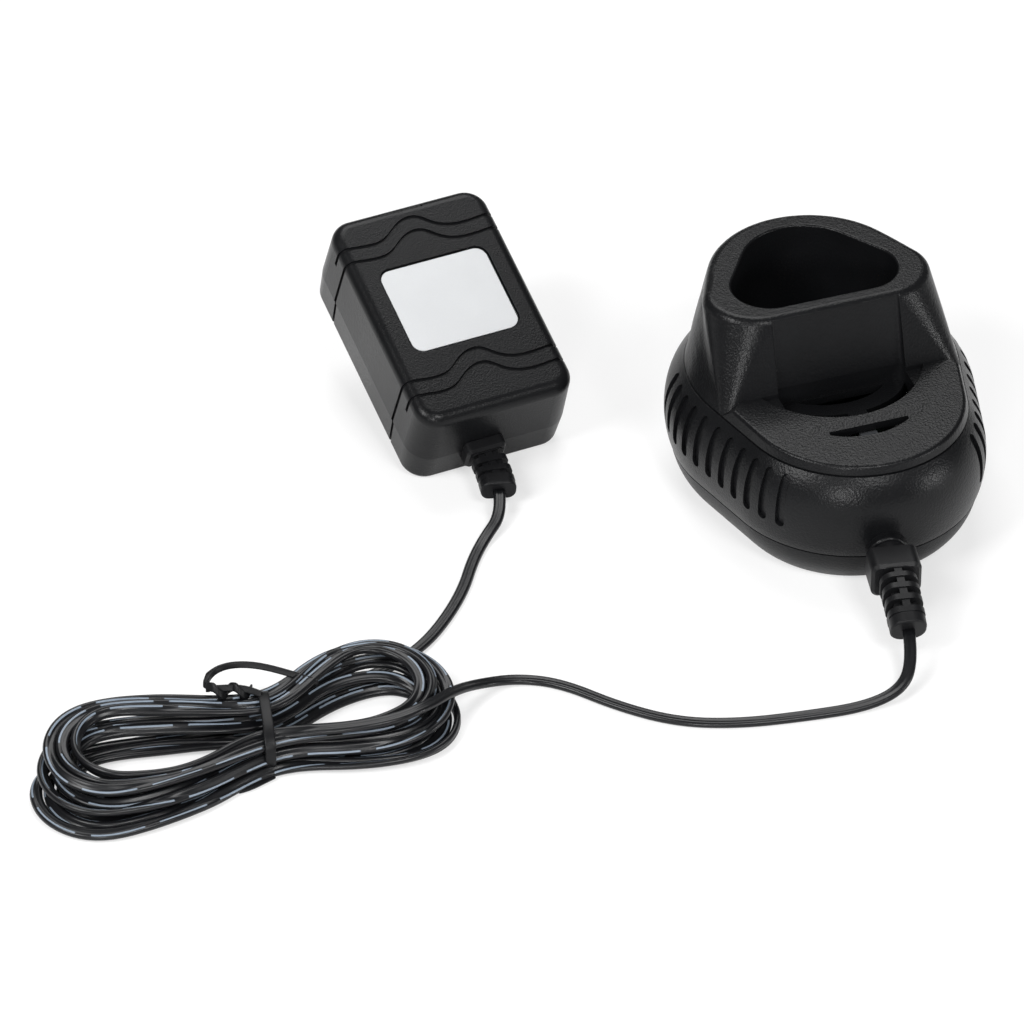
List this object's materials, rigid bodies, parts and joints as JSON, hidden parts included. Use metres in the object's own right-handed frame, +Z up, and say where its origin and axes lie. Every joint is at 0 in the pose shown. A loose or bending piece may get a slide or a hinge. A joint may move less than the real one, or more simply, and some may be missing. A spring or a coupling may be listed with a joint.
{
  "type": "battery charger",
  "caption": "Cordless tool battery charger: a D-shaped cradle with grooved flanks, a plug-in mains adapter, and a twin cord wound in a tied hank.",
  "frame": {"origin": "centre of the cradle's base, on the surface it stands on", "axes": "+Z up; the cradle's nose and DC plug point to -Y; the adapter lies toward -X"},
  "size_m": [0.3043, 0.2183, 0.062],
  "materials": {
    "case_black": "fine grain moulding",
    "pan_black": "fine grain moulding",
    "adapter_black": "semi-gloss moulding",
    "cord_black": "smooth PVC, dashed stripe",
    "flex_black": "satin overmould",
    "foot_rubber": "matt",
    "plate_silver": "satin foil",
    "steel": "zinc plated",
    "nickel": "nickel plated",
    "spring_bronze": "plated spring",
    "board_green": "solder mask",
    "guide_clear": "clear diffusing",
    "lamp_lens": "tinted lens",
    "cream_plastic": "nylon",
    "part_black": "epoxy",
    "can_sleeve": "shrink sleeve",
    "copper": "enamelled wire",
    "core_iron": "varnished laminations",
    "sink_alu": "extruded"
  },
  "bodies": {
    "cradle": {"base_pan": "pan_black", "mid_shell": "case_black", "top_cover": "case_black", "well_liner": "case_black", "rubber_feet": "foot_rubber", "case_screws": "steel", "circuit_board": "board_green", "board_screws": "steel", "contact_block": "part_black", "dc_jack": "part_black", "jack_pin": "nickel", "light_guide": "guide_clear", "charge_lamps": "lamp_lens", "filter_capacitor": "can_sleeve", "choke_coil": "copper", "choke_base": "part_black", "controller_chip": "part_black", "chip_leads": "nickel", "heat_sink": "sink_alu", "power_transistor": "part_black", "rectifier_diode": "part_black"},
    "leaf_left": {"contact_left": "spring_bronze"},
    "leaf_right": {"contact_right": "spring_bronze"},
    "cord_set": {"dc_plug": "flex_black", "plug_barrel": "nickel", "plug_insulator": "part_black", "cord_adapter_side": "cord_black", "cord_plug_side": "cord_black", "cord_hank": "cord_black", "cable_tie": "flex_black", "adapter_upper_case": "adapter_black", "adapter_lower_case": "adapter_black", "rating_plate": "plate_silver", "adapter_strain_relief": "flex_black", "mains_pins": "nickel", "pin_sleeves": "part_black", "transformer_core": "core_iron", "transformer_bobbin": "cream_plastic", "primary_winding": "copper", "secondary_winding": "copper", "transformer_saddles": "part_black", "adapter_board": "board_green", "board_posts": "part_black", "smoothing_capacitor": "can_sleeve", "rectifier_diodes": "part_black"}
  },
  "joints": [
    {"name": "plug_pull", "type": "slide", "parent": "cradle", "child": "cord_set", "axis": [-0.1908, -0.9816, 0], "range_m": [0, 0.012]},
    {"name": "leaf_left_spring", "type": "hinge", "parent": "cradle", "child": "leaf_left", "pos_m": [-0.0075, 0.0174, 0.0274], "axis": [-1, 0, 0], "range_deg": [0, 14], "stiffness_Nm_per_rad": 0.05},
    {"name": "leaf_right_spring", "type": "hinge", "parent": "cradle", "child": "leaf_right", "pos_m": [0.0075, 0.0174, 0.0274], "axis": [-1, 0, 0], "range_deg": [0, 14], "stiffness_Nm_per_rad": 0.05}
  ]
}
